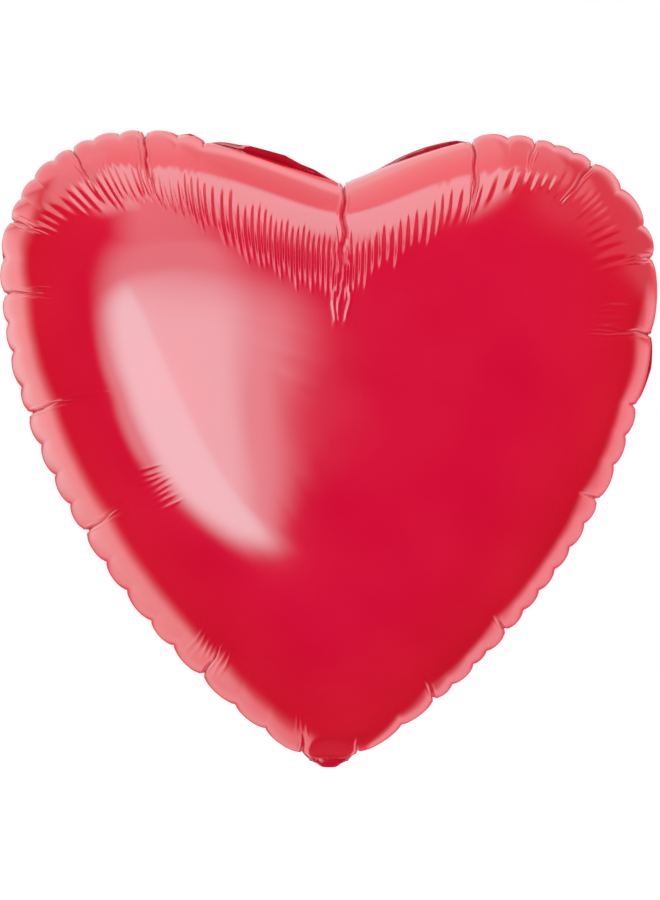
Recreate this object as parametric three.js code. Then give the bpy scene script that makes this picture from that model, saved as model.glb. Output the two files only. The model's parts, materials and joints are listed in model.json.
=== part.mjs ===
// Heart-shaped foil balloon, inflated, with a self-sealing valve and its filling tail folded up behind.
//
// Millimetres. +Z is up, +X is to the right and the front dome bulges towards -Y. The heat-seal plane is
// y = 0 and the origin is the lowest point of the neck, where the tail folds over.
//
// The real film is 0.05 mm thick. Every film here is drawn thicker, so that each piece is a sound solid,
// and neighbouring plies keep a small gap instead of touching.

import * as THREE from 'three';

// ---- driving dimensions ------------------------------------------------------------------------------

const HALF_WIDTH = 192.7;        // widest point of the inflated seam, to either side
const WIDEST_Z = 287.4;          // height of that widest point
const LOBE_TOP = { x: 103, z: 376 };
const NOTCH_Z = 346;             // bottom of the dip between the two lobes
const HALF_DEPTH = 85;           // from the seal plane to the crown of either dome

const NECK_HALF_WIDTH = 11;
const NECK_Z = 8;                // the envelope's film ends here and the folded neck begins
const CROWN_Z = 215;             // crown of the domes, on the centre line

const FILM = 0.8;                // drawn thickness of a foil ply
const SEAL_HALF = 0.6;           // half of the drawn thickness of the weld between the two foils
const PLY_GAP = 0.3;             // clearance kept between neighbouring plies
const SEAL_WIDTH = 3;            // width of the weld and of the flat lip on each foil

const VALVE_PLY = { inner: 0.15, outer: 0.55, halfWidth: 5.2 };
const VALVE_WELD = { inner: 5.5, outer: 7.2 };
const VALVE_TOP_Z = 88;          // the valve ends loose inside the envelope
const VALVE_WELD_TOP_Z = 76;     // its side welds stop short, which leaves a soft mouth

const FOLD = { z: 2, restAngle: 118, reach: 4 };  // hinge height, degrees from hanging, start of the film
const TAIL = { halfWidth: 16, shoulder: 20, length: 60, corner: 4 };
const TAIL_WELD_END = 50;        // the tail's end stays open for the filling nozzle
const INLET_END = 54;

const COLUMNS_PER_SIDE = 34;     // facets along each half of the seam
const RINGS = 8;                 // facets from the seam to the crown

// ---- materials ---------------------------------------------------------------------------------------

const redFoil = new THREE.MeshStandardMaterial({ color: 0xd3133a, roughness: 0.18, metalness: 0.85 });
const sealFoil = new THREE.MeshStandardMaterial({ color: 0xb51232, roughness: 0.35, metalness: 0.7 });
const valveFilm = new THREE.MeshStandardMaterial({ color: 0xe9e6e2, roughness: 0.3, metalness: 0 });

// ---- the heart's seam --------------------------------------------------------------------------------

const LIP_INNER = SEAL_HALF + PLY_GAP;
const LIP_OUTER = LIP_INNER + FILM;
const DOME_RISE = HALF_DEPTH - LIP_OUTER;
const CROWN = new THREE.Vector2(0, CROWN_Z);

/** Right half of the seam, from the neck's corner round the lobe to the notch. */
function seamHalf() {
  const half = new THREE.Path();
  half.moveTo(NECK_HALF_WIDTH, NECK_Z);
  half.bezierCurveTo(85, 46, HALF_WIDTH, 157, HALF_WIDTH, WIDEST_Z);
  half.bezierCurveTo(HALF_WIDTH, WIDEST_Z + 52, LOBE_TOP.x + 51, LOBE_TOP.z, LOBE_TOP.x, LOBE_TOP.z);
  half.bezierCurveTo(LOBE_TOP.x - 42, LOBE_TOP.z, 30, NOTCH_Z + 13, 0, NOTCH_Z);
  return half.getSpacedPoints(COLUMNS_PER_SIDE);
}

/** The whole seam, anticlockwise seen from the front: right half, left half, middle of the neck. */
function seamLoop() {
  const right = seamHalf();
  const left = right.slice(0, -1).reverse().map((p) => new THREE.Vector2(-p.x, p.y));
  return [...right, ...left, new THREE.Vector2(0, NECK_Z)];
}

const seam = seamLoop().map((point) => {
  const spoke = point.clone().sub(CROWN);
  return { reach: spoke.length(), direction: spoke.normalize() };
});

/** Point on a spoke, at a distance from the crown's axis. */
const onSpoke = (spoke, distance) => CROWN.clone().addScaledVector(spoke.direction, distance);

// ---- inflated height ---------------------------------------------------------------------------------

const ROUND_RADIUS = 165;        // rings turn from heart-shaped at the seam to round at the crown
const SWEEPS = 400;              // relaxation passes, and how far each one overshoots
const OVERSHOOT = 1.6;

/** Distance of ring number `ring` from the crown's axis; rings crowd together towards the steep seam. */
function ringDistance(spoke, ring) {
  const share = Math.cos((Math.PI / 2) * (ring / RINGS));
  const heart = share ** 2;
  return share * ((1 - heart) * ROUND_RADIUS + heart * (spoke.reach - SEAL_WIDTH));
}

/**
 * Rise of the dome at each ring point. A soap film over the seam gives the plan of the bulge, and the
 * profile of an inflated foil disc, steep at the seam and flat at the crown, turns it into a height.
 */
function domeHeights() {
  const count = seam.length;
  const crown = count * RINGS;
  const points = [];
  for (let ring = 0; ring < RINGS; ring += 1) {
    seam.forEach((spoke) => points.push(onSpoke(spoke, ringDistance(spoke, ring))));
  }
  points.push(CROWN);

  const links = points.map(() => new Map());
  const area = new Float64Array(points.length);
  const addTriangle = (...corner) => {
    for (let k = 0; k < 3; k += 1) {
      const [a, b, c] = [corner[k], corner[(k + 1) % 3], corner[(k + 2) % 3]];
      const toA = points[a].clone().sub(points[c]);
      const toB = points[b].clone().sub(points[c]);
      const cross = Math.abs(toA.cross(toB));
      const weight = toA.dot(toB) / cross / 2;
      links[a].set(b, (links[a].get(b) ?? 0) + weight);
      links[b].set(a, (links[b].get(a) ?? 0) + weight);
      area[c] += cross / 6;
    }
  };
  for (let column = 0; column < count; column += 1) {
    const next = (column + 1) % count;
    for (let ring = 0; ring < RINGS - 1; ring += 1) {
      const [low, high] = [ring * count, (ring + 1) * count];
      addTriangle(low + column, low + next, high + next);
      addTriangle(low + column, high + next, high + column);
    }
    addTriangle(crown - count + column, crown - count + next, crown);
  }

  const film = new Float64Array(points.length);
  for (let sweep = 0; sweep < SWEEPS; sweep += 1) {
    for (let i = count; i <= crown; i += 1) {
      let pull = area[i];
      let total = 0;
      links[i].forEach((weight, j) => {
        pull += weight * film[j];
        total += weight;
      });
      film[i] += OVERSHOOT * (pull / total - film[i]);
    }
  }
  const highest = Math.max(...film);
  return Array.from(film, (value) => DOME_RISE * Math.sqrt(1 - (1 - value / highest) ** 1.5));
}

const heights = domeHeights();

// ---- geometry helpers --------------------------------------------------------------------------------

/** Closed mesh from points and triangles; `flip` turns every face round. */
function meshGeometry(points, triangles, flip) {
  const geometry = new THREE.BufferGeometry();
  geometry.setAttribute('position', new THREE.Float32BufferAttribute(points.flat(), 3));
  geometry.setIndex(triangles.flatMap(([a, b, c]) => (flip ? [a, c, b] : [a, b, c])));
  geometry.computeVertexNormals();
  return geometry;
}

/** Flat plate in the seal plane's direction: a shape in x and z, filled from y = low to y = high. */
function plate(shape, low, high) {
  const geometry = new THREE.ExtrudeGeometry(shape, { depth: high - low, bevelEnabled: false });
  geometry.rotateX(Math.PI / 2);
  geometry.translate(0, high, 0);
  return geometry;
}

/** Upright strip in x and z. */
function strip(left, right, bottom, top) {
  return new THREE.Shape([
    new THREE.Vector2(left, bottom),
    new THREE.Vector2(right, bottom),
    new THREE.Vector2(right, top),
    new THREE.Vector2(left, top),
  ]);
}

function piece(name, geometry, material) {
  const mesh = new THREE.Mesh(geometry, material);
  mesh.name = name;
  return mesh;
}

// ---- envelope ----------------------------------------------------------------------------------------

/**
 * One foil panel: a dome with a flat lip, open towards the seal plane. `side` is -1 for the front and
 * +1 for the rear. Its rows run from the crown down the outside, round the lip and back up the inside.
 */
function foilPanel(side) {
  const count = seam.length;
  const crownRise = heights[count * RINGS];
  const points = [];
  const addRow = (distanceOf, riseOf) => {
    seam.forEach((spoke, column) => {
      const at = onSpoke(spoke, distanceOf(spoke));
      points.push([at.x, side * riseOf(column), at.y]);
    });
  };
  for (let ring = RINGS - 1; ring >= 0; ring -= 1) {
    addRow((spoke) => ringDistance(spoke, ring), (column) => LIP_OUTER + heights[ring * count + column]);
  }
  addRow((spoke) => spoke.reach, () => LIP_OUTER);
  addRow((spoke) => spoke.reach, () => LIP_INNER);
  for (let ring = 0; ring < RINGS; ring += 1) {
    addRow(
      (spoke) => ringDistance(spoke, ring) * (1 - FILM / spoke.reach),
      (column) => LIP_INNER + heights[ring * count + column],
    );
  }
  const rows = points.length / count;
  const outerCrown = points.push([CROWN.x, side * (LIP_OUTER + crownRise), CROWN.y]) - 1;
  const innerCrown = points.push([CROWN.x, side * (LIP_INNER + crownRise), CROWN.y]) - 1;

  const triangles = [];
  for (let column = 0; column < count; column += 1) {
    const next = (column + 1) % count;
    triangles.push([outerCrown, next, column]);
    for (let row = 0; row < rows - 1; row += 1) {
      const [low, high] = [row * count, (row + 1) * count];
      triangles.push([low + column, low + next, high + next], [low + column, high + next, high + column]);
    }
    const last = (rows - 1) * count;
    triangles.push([last + column, last + next, innerCrown]);
  }
  return meshGeometry(points, triangles, side < 0);
}

/** The weld that joins the two foils all round, open only across the neck. */
function sealBand() {
  const spokes = seam.slice(0, -1);
  const points = spokes.flatMap((spoke) => {
    const outer = onSpoke(spoke, spoke.reach);
    const inner = onSpoke(spoke, spoke.reach - SEAL_WIDTH);
    return [
      [outer.x, -SEAL_HALF, outer.y],
      [outer.x, SEAL_HALF, outer.y],
      [inner.x, SEAL_HALF, inner.y],
      [inner.x, -SEAL_HALF, inner.y],
    ];
  });
  const triangles = [];
  const last = 4 * (spokes.length - 1);
  for (let start = 0; start < last; start += 4) {
    for (let k = 0; k < 4; k += 1) {
      const [a, b] = [start + k, start + ((k + 1) % 4)];
      triangles.push([a, a + 4, b + 4], [a, b + 4, b]);
    }
  }
  triangles.push([0, 1, 2], [0, 2, 3]);
  triangles.push([last, last + 2, last + 1], [last, last + 3, last + 2]);
  return meshGeometry(points, triangles, true);
}

/** The valve inside the envelope: two loose plies welded along both sides. */
function valvePieces() {
  const { inner, outer, halfWidth } = VALVE_PLY;
  const ply = strip(-halfWidth, halfWidth, NECK_Z, VALVE_TOP_Z);
  const weld = strip(VALVE_WELD.inner, VALVE_WELD.outer, NECK_Z, VALVE_WELD_TOP_Z);
  const weldLeft = strip(-VALVE_WELD.outer, -VALVE_WELD.inner, NECK_Z, VALVE_WELD_TOP_Z);
  return [
    piece('valve_front_ply', plate(ply, -outer, -inner), valveFilm),
    piece('valve_rear_ply', plate(ply, inner, outer), valveFilm),
    piece('valve_weld_right', plate(weld, -outer, outer), valveFilm),
    piece('valve_weld_left', plate(weldLeft, -outer, outer), valveFilm),
  ];
}

// ---- filling tail, drawn hanging straight down from the fold -------------------------------------------

/** Side edge of the tail: from the neck's width out to the full width at the shoulder. */
function tailSide(path, side, inset) {
  const root = NECK_HALF_WIDTH - inset;
  const full = TAIL.halfWidth - inset;
  const middle = (FOLD.reach + TAIL.shoulder) / 2;
  path.moveTo(side * root, -FOLD.reach);
  path.bezierCurveTo(side * root, -middle, side * full, -middle, side * full, -TAIL.shoulder);
}

const TAIL_CURVE_STEPS = 6;

function tailOutline() {
  const half = new THREE.Path();
  tailSide(half, 1, 0);
  half.lineTo(TAIL.halfWidth, -(TAIL.length - TAIL.corner));
  half.absarc(TAIL.halfWidth - TAIL.corner, -(TAIL.length - TAIL.corner), TAIL.corner, 0, -Math.PI / 2, true);
  const right = half.getPoints(TAIL_CURVE_STEPS);
  const left = right.map((p) => new THREE.Vector2(-p.x, p.y)).reverse();
  return new THREE.Shape([...right, ...left]);
}

function tailWeld(side) {
  const outer = new THREE.Path();
  tailSide(outer, side, 0);
  outer.lineTo(side * TAIL.halfWidth, -TAIL_WELD_END);
  const inner = new THREE.Path();
  tailSide(inner, side, SEAL_WIDTH);
  inner.lineTo(side * (TAIL.halfWidth - SEAL_WIDTH), -TAIL_WELD_END);
  const edge = outer.getPoints(TAIL_CURVE_STEPS);
  return new THREE.Shape([...edge, ...inner.getPoints(TAIL_CURVE_STEPS).reverse()]);
}

function tailPieces() {
  const outline = tailOutline();
  const { inner, outer, halfWidth } = VALVE_PLY;
  const inlet = strip(-halfWidth, halfWidth, -INLET_END, -FOLD.reach);
  return [
    piece('tail_front_ply', plate(outline, -LIP_OUTER, -LIP_INNER), redFoil),
    piece('tail_rear_ply', plate(outline, LIP_INNER, LIP_OUTER), redFoil),
    piece('tail_weld_left', plate(tailWeld(-1), -SEAL_HALF, SEAL_HALF), sealFoil),
    piece('tail_weld_right', plate(tailWeld(1), -SEAL_HALF, SEAL_HALF), sealFoil),
    piece('inlet_front_ply', plate(inlet, -outer, -inner), valveFilm),
    piece('inlet_rear_ply', plate(inlet, inner, outer), valveFilm),
  ];
}

// ---- assembly ----------------------------------------------------------------------------------------

const envelope = new THREE.Group();
envelope.name = 'envelope';
envelope.add(piece('front_panel', foilPanel(-1), redFoil));
envelope.add(piece('rear_panel', foilPanel(1), redFoil));
envelope.add(piece('heat_seal_band', sealBand(), sealFoil));
envelope.add(...valvePieces());

const tail = new THREE.Group();
tail.name = 'tail';
tail.position.z = FOLD.z;
tail.rotation.x = THREE.MathUtils.degToRad(FOLD.restAngle);
tail.add(...tailPieces());

const balloon = new THREE.Group();
balloon.name = 'heart_foil_balloon';
balloon.add(envelope, tail);

export default balloon;
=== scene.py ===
"""Heart-shaped foil balloon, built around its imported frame: two gathered metallised films, the crimped
weld between them, the filling tail folded up behind and the milky valve inside.

Metres, +Z up, front towards -Y."""

import json
import math

import bpy
import numpy as np
from bpy.props import FloatProperty, IntProperty, PointerProperty, StringProperty
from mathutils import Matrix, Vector


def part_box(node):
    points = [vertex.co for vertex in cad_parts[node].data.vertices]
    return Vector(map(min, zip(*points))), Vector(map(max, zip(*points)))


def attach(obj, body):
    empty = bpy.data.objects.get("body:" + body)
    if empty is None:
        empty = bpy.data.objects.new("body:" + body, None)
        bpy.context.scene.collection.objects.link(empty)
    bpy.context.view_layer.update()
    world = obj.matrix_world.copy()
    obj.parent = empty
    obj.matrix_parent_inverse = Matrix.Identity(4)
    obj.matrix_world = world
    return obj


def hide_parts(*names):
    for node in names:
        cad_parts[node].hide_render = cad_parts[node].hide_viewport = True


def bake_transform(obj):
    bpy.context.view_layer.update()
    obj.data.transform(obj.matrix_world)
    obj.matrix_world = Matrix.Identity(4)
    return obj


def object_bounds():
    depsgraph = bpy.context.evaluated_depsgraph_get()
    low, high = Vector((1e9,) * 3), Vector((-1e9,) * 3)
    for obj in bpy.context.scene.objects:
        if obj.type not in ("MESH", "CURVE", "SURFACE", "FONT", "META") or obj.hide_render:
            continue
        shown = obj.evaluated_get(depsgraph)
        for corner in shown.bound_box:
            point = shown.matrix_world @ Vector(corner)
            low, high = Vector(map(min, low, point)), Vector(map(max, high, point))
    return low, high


bl_info = {
    "name": "Heart foil balloon",
    "version": (1, 0, 0),
    "blender": (4, 5, 0),
    "location": "3D View > Sidebar > Balloon",
    "description": "Builds a heart-shaped metallised film balloon around its packed frame",
    "category": "Add Mesh",
}

MM = 0.001
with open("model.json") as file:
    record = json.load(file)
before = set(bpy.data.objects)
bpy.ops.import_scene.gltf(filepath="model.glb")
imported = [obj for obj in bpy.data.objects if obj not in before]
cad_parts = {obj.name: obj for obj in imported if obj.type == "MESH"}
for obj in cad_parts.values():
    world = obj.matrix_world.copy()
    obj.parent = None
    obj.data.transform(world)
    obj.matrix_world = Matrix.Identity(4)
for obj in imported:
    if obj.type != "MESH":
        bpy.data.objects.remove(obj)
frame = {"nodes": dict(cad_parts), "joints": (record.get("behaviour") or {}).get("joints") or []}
CAD_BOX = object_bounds()
PANEL_LOW, PANEL_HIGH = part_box("front_panel")
FOLD_AT = Vector(frame["joints"][0]["pos_m"])
FOLD_ANGLE = math.radians(frame["joints"][0]["range_deg"][1] / 2)


# ---- settings a user would change ----------------------------------------------------------------------


class HeartShape(bpy.types.PropertyGroup):
    """The inflated heart before it is gathered."""

    half_width: FloatProperty(
        name="Half width", description="Seam at its widest, from the middle", unit="LENGTH",
        default=PANEL_HIGH.x - 2.4 * MM,
    )
    lobe_height: FloatProperty(
        name="Lobe height", description="Height of the seam at the top of the left lobe", unit="LENGTH",
        default=PANEL_HIGH.z - 1.4 * MM,
    )
    notch_height: FloatProperty(
        name="Notch height", description="Height of the dip between the lobes", unit="LENGTH", default=0.345,
    )
    notch_shift: FloatProperty(
        name="Notch shift", description="How far the dip sits to the right of the neck", unit="LENGTH",
        default=7 * MM,
    )
    dome_height: FloatProperty(
        name="Dome height", description="From the seal plane to the crown of either dome", unit="LENGTH",
        default=-PANEL_LOW.y,
    )
    neck_half_width: FloatProperty(
        name="Neck half width", description="Half of the flat neck at the tip", unit="LENGTH",
        default=11 * MM,
    )


class Gathers(bpy.types.PropertyGroup):
    """How the film bunches along the weld."""

    scallop_share: FloatProperty(
        name="Scallop share", description="Height of a scallop as a share of its length", default=0.19,
    )
    scallop_limit: FloatProperty(
        name="Scallop limit", description="Most that a scallop may rise", unit="LENGTH", default=3.7 * MM,
    )
    sway: FloatProperty(
        name="Weld sway", description="How far the weld wanders off its plane", unit="LENGTH",
        default=0.9 * MM,
    )
    pleat_scale: FloatProperty(
        name="Pleat scale", description="Spacing of the fine pleats, as a factor", default=1.0,
    )
    seed: IntProperty(
        name="Seed", description="Start of the random numbers for the small wrinkles", default=7,
    )


class WeldSizes(bpy.types.PropertyGroup):
    """The crimped flange round the seam and down the sides of the tail."""

    width: FloatProperty(
        name="Flange width", description="Free edge outside the seam", unit="LENGTH", default=1.8 * MM,
    )
    tilt: FloatProperty(
        name="Flange tilt", description="How far the flange leans back", subtype="ANGLE",
        default=math.radians(86),
    )
    rib_pitch: FloatProperty(
        name="Crimp pitch", description="Distance from one crimp rib to the next", unit="LENGTH",
        default=1.5 * MM,
    )
    rib_width: FloatProperty(
        name="Crimp width", description="Width of a crimp rib", unit="LENGTH", default=0.5 * MM,
    )


class FilmFinish(bpy.types.PropertyGroup):
    """Colours of the films."""

    foil_colour: StringProperty(
        name="Foil", description="Red ink on the crown, as hex sRGB", default="#DA0036",
    )
    # Painted shade: a warmer, less blue red near the weld, standing in for how the steep film there looks
    # under the lights.
    rim_shade_colour: StringProperty(
        name="Rim", description="Red ink near the weld, as hex sRGB", default="#DC122C",
    )
    # Painted shade: the darker red the film is given in its creases, against the weld and at the tail's fold.
    crease_shade_colour: StringProperty(
        name="Crease", description="Shaded ink inside a crease, as hex sRGB", default="#C40C30",
    )
    weld_colour: StringProperty(
        name="Weld", description="Crimped weld, as hex sRGB", default="#C4122F",
    )
    valve_colour: StringProperty(
        name="Valve", description="Milky valve film, as hex sRGB", default="#E9E6E2",
    )
    crinkle_size: FloatProperty(
        name="Crinkle size", description="Distance across one fine crinkle of the film", unit="LENGTH",
        default=9 * MM,
    )


class StudioLevels(bpy.types.PropertyGroup):
    """How bright the studio is."""

    fill: FloatProperty(name="Fill", description="Even light from all round", default=1.3)
    lamps: FloatProperty(
        name="Lamps", description="Brightness of every soft light, as a factor", default=1.0,
    )


# ---- the heart's seam ----------------------------------------------------------------------------------

LOOP_POINTS = 2400
CROWN = (0.0, 0.215)         # x and z of the heart's middle, which clock angles turn about
RIGHT_WIDEST = 0.287         # heights at which the seam is widest
LEFT_WIDEST = 0.295
LOBE_DROP = 3 * MM           # the right lobe stands this much below the left one
SEAM_BLUR = 2.5 * MM         # rounds the joins of the seam's curves
DIRECTION_BLUR = 18 * MM     # evens out the directions in which the domes' lines start


def bezier(p0, p1, p2, p3, count=400):
    """Points along a cubic curve, without its last one."""
    t = np.linspace(0, 1, count, endpoint=False)[:, None]
    p0, p1, p2, p3 = (np.array(p) for p in (p0, p1, p2, p3))
    return (1 - t) ** 3 * p0 + 3 * (1 - t) ** 2 * t * p1 + 3 * (1 - t) * t * t * p2 + t**3 * p3


def soften(values, spread, length):
    """Gaussian blur of values sampled evenly round a loop of that length."""
    waves = np.fft.fftfreq(len(values), length / len(values))
    keep = np.exp(-2 * (np.pi * waves * spread) ** 2)
    keep = keep.reshape((-1,) + (1,) * (values.ndim - 1))
    return np.real(np.fft.ifft(np.fft.fft(values, axis=0) * keep, axis=0))


def unit(vectors):
    """Vectors along the last axis, scaled to length one."""
    return vectors / np.maximum(np.linalg.norm(vectors, axis=-1, keepdims=True), 1e-12)


def smooth_step(low, high, value):
    share = np.clip((value - low) / (high - low), 0, 1)
    return share * share * (3 - 2 * share)


class Seam:
    """The weld line in the seal plane, as x and z, anticlockwise from the neck's right corner."""

    def __init__(self, shape):
        wide, top = shape.half_width, shape.lobe_height
        neck = (shape.neck_half_width, PANEL_LOW.z)
        notch = (shape.notch_shift, shape.notch_height)
        self.crown = np.array(CROWN)
        right_top, left_top = top - LOBE_DROP, top
        curves = (
            bezier(neck, (0.084, 0.046), (wide, 0.157), (wide, RIGHT_WIDEST)),
            bezier((wide, RIGHT_WIDEST), (wide, 0.338), (0.153, right_top), (0.102, right_top)),
            bezier((0.102, right_top), (0.066, right_top), (0.032, 0.352), notch),
            bezier(notch, (-0.018, 0.352), (-0.072, left_top), (-0.110, left_top)),
            bezier((-0.110, left_top), (-0.160, left_top), (-wide, 0.341), (-wide, LEFT_WIDEST)),
            bezier((-wide, LEFT_WIDEST), (-wide, 0.166), (-0.082, 0.049), (-neck[0], neck[1])),
            bezier((-neck[0], neck[1]), (-0.004, neck[1]), (0.004, neck[1]), neck, 100),
        )
        rough = np.concatenate(curves)
        steps = np.linalg.norm(np.roll(rough, -1, axis=0) - rough, axis=1)
        along = np.concatenate(([0], np.cumsum(steps)))
        self.length = along[-1]
        self.s = np.arange(LOOP_POINTS) / LOOP_POINTS * self.length
        closed = np.vstack((rough, rough[:1]))
        even = np.stack([np.interp(self.s, along, closed[:, k]) for k in (0, 1)], axis=1)
        self.points = soften(even, SEAM_BLUR, self.length)
        tangent = np.roll(self.points, -1, axis=0) - np.roll(self.points, 1, axis=0)
        self.inward = unit(np.stack((-tangent[:, 1], tangent[:, 0]), axis=1))
        self.eased = unit(soften(self.inward, DIRECTION_BLUR, self.length))
        spoke = self.points - self.crown
        self.clock = np.unwrap(np.degrees(np.arctan2(spoke[:, 0], spoke[:, 1])) % 360, period=360)

    def at(self, s, table):
        """A per-point table read at distances s round the loop."""
        closed = np.concatenate((table, table[:1]))
        grid = np.append(self.s, self.length)
        s = np.mod(s, self.length)
        if closed.ndim == 1:
            return np.interp(s, grid, closed)
        return np.stack([np.interp(s, grid, closed[:, k]) for k in range(closed.shape[1])], axis=-1)

    def clock_to_s(self, clock):
        """Distance round the loop of a clock angle, in degrees clockwise from the top."""
        turns = self.clock[::-1]
        wanted = turns[0] + np.mod(np.asarray(clock, float) - turns[0], 360)
        return np.interp(wanted, turns, self.s[::-1])

    def gap(self, s, place):
        """Signed distance round the loop from a place, the short way."""
        half = self.length / 2
        return np.mod(s - place + half, 2 * half) - half

    def guide(self, s, rows, column):
        """One column of a table of (clock, value...) rows, in millimetres, read at s."""
        places = self.clock_to_s([row[0] for row in rows])
        return np.interp(s, places, [row[column] * MM for row in rows], period=self.length)


# ---- the inflated dome ---------------------------------------------------------------------------------

HARMONICS = 32
HARMONIC_SCALE = 0.2         # keeps high powers of a distance near one
NOTCH_ANGLE = math.radians(224)


class SoapFilm:
    """A soap film blown over the seam: 0 at the weld, 1 at its highest. It gives the plan of the bulge."""

    def __init__(self, seam, shape):
        self.middle = seam.crown
        self.notch = np.array((shape.notch_shift, shape.notch_height + 1.5 * MM))
        edge = seam.points[::4]
        self.weights = np.linalg.lstsq(self.waves(edge), -self.bowl(edge), rcond=1e-12)[0]
        line = np.stack((np.zeros(200), np.linspace(0.18, 0.26, 200)), axis=1)
        raw = self.raw(line)
        self.highest = raw.max()
        self.crown = line[raw.argmax()]

    def bowl(self, points):
        return -((points - self.middle) ** 2).sum(axis=-1) / 4

    def waves(self, points):
        """Harmonic functions: powers about the middle, and three that suit the inward corner at the notch."""
        z = ((points[..., 0] - self.middle[0]) + 1j * (points[..., 1] - self.middle[1])) / HARMONIC_SCALE
        columns = [np.ones(z.shape)]
        for power in range(1, HARMONICS + 1):
            columns += [(z**power).real, (z**power).imag]
        corner = ((points[..., 0] - self.notch[0]) + 1j * (points[..., 1] - self.notch[1])) / HARMONIC_SCALE
        turn, far = np.angle(corner * 1j), np.abs(corner)
        for k in (1, 2, 3):
            power = k * np.pi / NOTCH_ANGLE
            columns += [far**power * np.cos(power * turn), far**power * np.sin(power * turn)]
        return np.stack(columns, axis=-1)

    def raw(self, points):
        return self.bowl(points) + self.waves(points) @ self.weights

    def share(self, points):
        return self.raw(points) / self.highest


ROWS = 42                # rows of facets in the gathered band along the weld
BAND_SHARE = 0.5         # how far that band reaches along each line from the weld to the crown
INNER_ROWS = ((2, 6), (4, 5), (8, 4), (16, 3), (32, 2))     # column stride and rows, towards the crown
LINE_PULL = 75 * MM      # how far a line runs square to the weld before it turns to the crown
TIP_TOP = 140 * MM       # below this height the lines lean towards the crown
COLUMNS = 2048
NECK_TOP = 12 * MM       # the neck's own swell dies out over this height
NECK_SWELL = 1.3 * MM    # half of the neck's thickness at its middle


def row_plan():
    """Shares along the lines, crowded at the steep weld, and how many columns each row skips."""
    shares = [BAND_SHARE * (j / ROWS) ** 2 for j in range(ROWS + 1)]
    strides = [1] * (ROWS + 1)
    left = sum(rows * stride**0.5 for stride, rows in INNER_ROWS) + 3
    step = (1 - BAND_SHARE) / left
    for stride, rows in INNER_ROWS:
        for _ in range(rows):
            shares.append(shares[-1] + step * stride**0.5)
            strides.append(stride)
    return np.array(shares), strides


def outward(points):
    """Unit normals of a grid whose rows climb from the weld and whose columns run anticlockwise."""
    up = np.gradient(points, axis=0)
    along = np.roll(points, -1, axis=1) - np.roll(points, 1, axis=1)
    return unit(np.cross(along, up))


def run_length(points):
    """Distance along each column of a grid, from its first row."""
    steps = np.linalg.norm(np.diff(points, axis=0), axis=-1)
    return np.concatenate((np.zeros((1, points.shape[1])), np.cumsum(steps, axis=0)))


class DomeGrid:
    """Lines from the weld to the crown, square to the weld at their start, with the dome's height on them."""

    def __init__(self, seam, film, columns, shape):
        self.s = columns
        shares, self.strides = row_plan()
        start = seam.at(columns, seam.points)
        t = shares[:, None, None]
        plan = (1 - t) ** 2 * start + 2 * t * (1 - t) * self.pull(seam, start) + t**2 * film.crown
        share = film.share(plan)
        share = np.clip(share - share[0] * (1 - shares[:, None]) ** 8, 0, 1)
        rise = shape.dome_height * np.sqrt(1 - (1 - share) ** 1.5)
        across = np.clip(plan[..., 0] / shape.neck_half_width, -1, 1)
        neck = NECK_SWELL * (1 - across**2) * (1 - smooth_step(0, NECK_TOP, plan[..., 1] - PANEL_LOW.z))
        rise = np.sqrt(rise**2 + neck**2)
        self.plan = plan
        self.points = np.stack((plan[..., 0], -rise, plan[..., 1]), axis=-1)
        self.inset = run_length(plan)
        self.climb = run_length(self.points)
        self.normals = outward(self.points)
        out = -seam.at(columns, seam.inward)
        self.normals[0] = np.stack((out[:, 0], np.zeros(len(columns)), out[:, 1]), axis=-1)

    def pull(self, seam, start):
        """Middle control points: square to the weld, but towards the crown in the narrow tip."""
        inward = seam.at(self.s, seam.eased)
        in_tip = 1 - smooth_step(PANEL_LOW.z, TIP_TOP, start[:, 1])[:, None]
        return start + unit(inward * (1 - in_tip) + unit(seam.crown - start) * in_tip) * LINE_PULL


# ---- gathering along the weld --------------------------------------------------------------------------

# Each main crease: clock angle round the heart, visible length and depth in millimetres, then how many
# scallops fill the seam back to the crease before it and how full they are.
CREASES = (
    (3.6, 70, 3.4, 1, 0.15),
    (28.3, 44, 2.6, 1, 0.15),
    (37.9, 15, 1.8, 2, 1.0),
    (47.5, 35, 2.2, 3, 1.0),
    (65.5, 9, 1.8, 3, 1.0),
    (77.7, 33, 2.2, 1, 0.8),
    (90.2, 6, 1.6, 1, 0.8),
    (109.5, 14, 2.0, 3, 0.9),
    (141.8, 14, 2.0, 6, 1.0),
    (160.3, 22, 1.8, 4, 1.0),
    (175.2, 10, 1.4, 2, 0.8),
    (184.4, 14, 1.6, 1, 0.4),
    (205.1, 27, 2.2, 3, 0.9),
    (242.5, 28, 2.4, 5, 1.0),
    (268.4, 40, 2.2, 4, 1.0),
    (288.9, 28, 1.6, 4, 1.0),
    (300.1, 18, 2.2, 2, 1.0),
    (314.9, 30, 2.2, 4, 1.0),
    (325.9, 42, 3.0, 3, 1.0),
    (334.9, 6, 1.2, 2, 0.8),
)

# Fine pleats: clock angle, where they start and end inside the weld, their height and their pitch, in
# millimetres.
PLEATS = (
    (296, 14, 30, 0.0, 4.0),
    (301, 14, 32, 0.6, 4.0),
    (313, 14, 42, 0.9, 4.0),
    (315.5, 16, 47, 1.0, 4.0),
    (325, 16, 50, 1.0, 4.2),
    (329, 17, 50, 0.9, 4.2),
    (335, 20, 53, 0.8, 4.2),
    (346, 27, 65, 0.8, 4.0),
    (358, 32, 69, 0.85, 4.0),
    (3.6, 34, 70, 0.85, 4.4),
    (12, 28, 62, 0.75, 5.4),
    (20, 24, 56, 0.75, 5.6),
    (28, 20, 48, 0.70, 5.2),
    (38, 16, 30, 0.60, 4.0),
    (40, 14, 30, 0.60, 4.0),
    (46, 12, 34, 0.80, 4.0),
    (50, 12, 34, 0.50, 4.4),
    (56, 10, 36, 0.70, 4.4),
    (64, 10, 38, 0.80, 4.4),
    (67, 12, 36, 0.0, 4.4),
)

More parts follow.
